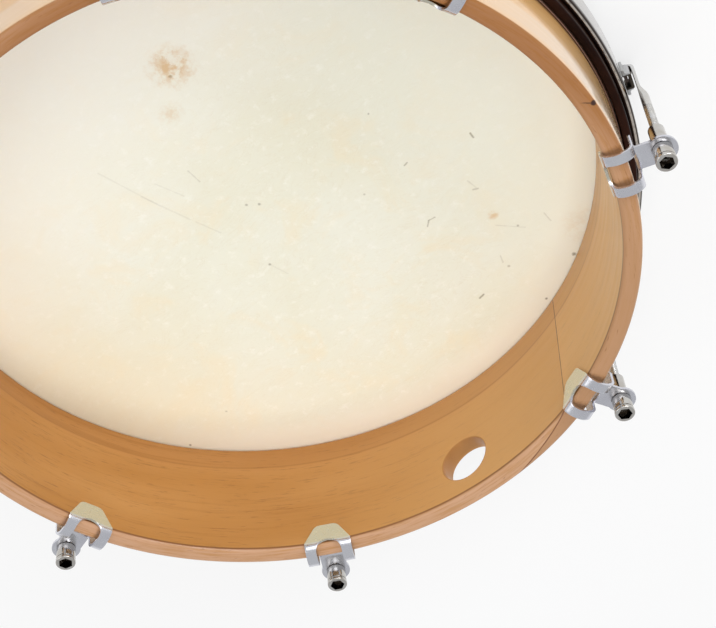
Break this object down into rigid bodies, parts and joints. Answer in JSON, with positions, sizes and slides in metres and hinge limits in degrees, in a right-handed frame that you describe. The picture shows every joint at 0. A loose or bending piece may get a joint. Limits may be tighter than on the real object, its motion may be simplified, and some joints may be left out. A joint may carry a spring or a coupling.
{
  "type": "hand drum",
  "caption": "Shallow wooden hand drum lying on its skin head, open side up, with a steel tension hoop drawn up by claws, hooks and sleeve nuts round the rim.",
  "frame": {"origin": "centre of the playing face, on the drum's axis, at the lowest plane of the drum as it lies on its head", "axes": "+Z along the drum's axis out of the open side, -Y through the thumb hole in the shell"},
  "size_m": [0.4295, 0.4236, 0.0929],
  "materials": {
    "shell_wood": "clear satin lacquer on beech",
    "drum_skin": "natural goat skin, smooth and slightly mottled",
    "flesh_hoop_wood": "dark stain",
    "hoop_chrome": "polished chrome plate",
    "zinc_plate": "bright zinc plate with a faint blue and yellow passivation",
    "nut_nickel": "nickel plate"
  },
  "bodies": {
    "shell_and_claws": {"shell": "shell_wood", "drumhead": "drum_skin", "drumhead_turn": "drum_skin", "rim_claw_1": "zinc_plate", "rim_claw_2": "zinc_plate", "rim_claw_3": "zinc_plate", "rim_claw_4": "zinc_plate", "rim_claw_5": "zinc_plate", "rim_claw_6": "zinc_plate", "rim_claw_7": "zinc_plate", "rim_claw_8": "zinc_plate"},
    "hoop": {"tension_hoop": "hoop_chrome", "flesh_hoop": "flesh_hoop_wood", "drumhead_hem": "drum_skin", "hoop_loop_1": "hoop_chrome", "hoop_loop_2": "hoop_chrome", "hoop_loop_3": "hoop_chrome", "hoop_loop_4": "hoop_chrome", "hoop_loop_5": "hoop_chrome", "hoop_loop_6": "hoop_chrome", "hoop_loop_7": "hoop_chrome", "hoop_loop_8": "hoop_chrome", "tension_hook_1": "zinc_plate", "tension_hook_2": "zinc_plate", "tension_hook_3": "zinc_plate", "tension_hook_4": "zinc_plate", "tension_hook_5": "zinc_plate", "tension_hook_6": "zinc_plate", "tension_hook_7": "zinc_plate", "tension_hook_8": "zinc_plate"},
    "nut_1": {"tension_nut_1": "nut_nickel"},
    "nut_2": {"tension_nut_2": "nut_nickel"},
    "nut_3": {"tension_nut_3": "nut_nickel"},
    "nut_4": {"tension_nut_4": "nut_nickel"},
    "nut_5": {"tension_nut_5": "nut_nickel"},
    "nut_6": {"tension_nut_6": "nut_nickel"},
    "nut_7": {"tension_nut_7": "nut_nickel"},
    "nut_8": {"tension_nut_8": "nut_nickel"}
  },
  "joints": [
    {"name": "head_tension", "type": "slide", "parent": "shell_and_claws", "child": "hoop", "axis": [0, 0, 1], "range_m": [0, 0.002]},
    {"name": "nut_1_turn", "type": "hinge", "parent": "shell_and_claws", "child": "nut_1", "pos_m": [-0.20453, -0.07602, 0.0812], "axis": [0, 0, 1], "range_deg": [-905, 5]},
    {"name": "nut_2_turn", "type": "hinge", "parent": "shell_and_claws", "child": "nut_2", "pos_m": [-0.09957, -0.19416, 0.0812], "axis": [0, 0, 1], "range_deg": [-905, 5]},
    {"name": "nut_3_turn", "type": "hinge", "parent": "shell_and_claws", "child": "nut_3", "pos_m": [0.10146, -0.19318, 0.0812], "axis": [0, 0, 1], "range_deg": [-905, 5]},
    {"name": "nut_4_turn", "type": "hinge", "parent": "shell_and_claws", "child": "nut_4", "pos_m": [0.20864, -0.06387, 0.0812], "axis": [0, 0, 1], "range_deg": [-905, 5]},
    {"name": "nut_5_turn", "type": "hinge", "parent": "shell_and_claws", "child": "nut_5", "pos_m": [0.19534, 0.09723, 0.0812], "axis": [0, 0, 1], "range_deg": [-905, 5]},
    {"name": "nut_6_turn", "type": "hinge", "parent": "shell_and_claws", "child": "nut_6", "pos_m": [0.07483, 0.20497, 0.0812], "axis": [0, 0, 1], "range_deg": [-905, 5]},
    {"name": "nut_7_turn", "type": "hinge", "parent": "shell_and_claws", "child": "nut_7", "pos_m": [-0.08675, 0.20022, 0.0812], "axis": [0, 0, 1], "range_deg": [-905, 5]},
    {"name": "nut_8_turn", "type": "hinge", "parent": "shell_and_claws", "child": "nut_8", "pos_m": [-0.20072, 0.08558, 0.0812], "axis": [0, 0, 1], "range_deg": [-905, 5]}
  ],
  "couplings": [
    {"joint": "nut_1_turn", "follows": "head_tension", "rad_per_m": -7854},
    {"joint": "nut_2_turn", "follows": "head_tension", "rad_per_m": -7854},
    {"joint": "nut_3_turn", "follows": "head_tension", "rad_per_m": -7854},
    {"joint": "nut_4_turn", "follows": "head_tension", "rad_per_m": -7854},
    {"joint": "nut_5_turn", "follows": "head_tension", "rad_per_m": -7854},
    {"joint": "nut_6_turn", "follows": "head_tension", "rad_per_m": -7854},
    {"joint": "nut_7_turn", "follows": "head_tension", "rad_per_m": -7854},
    {"joint": "nut_8_turn", "follows": "head_tension", "rad_per_m": -7854}
  ]
}
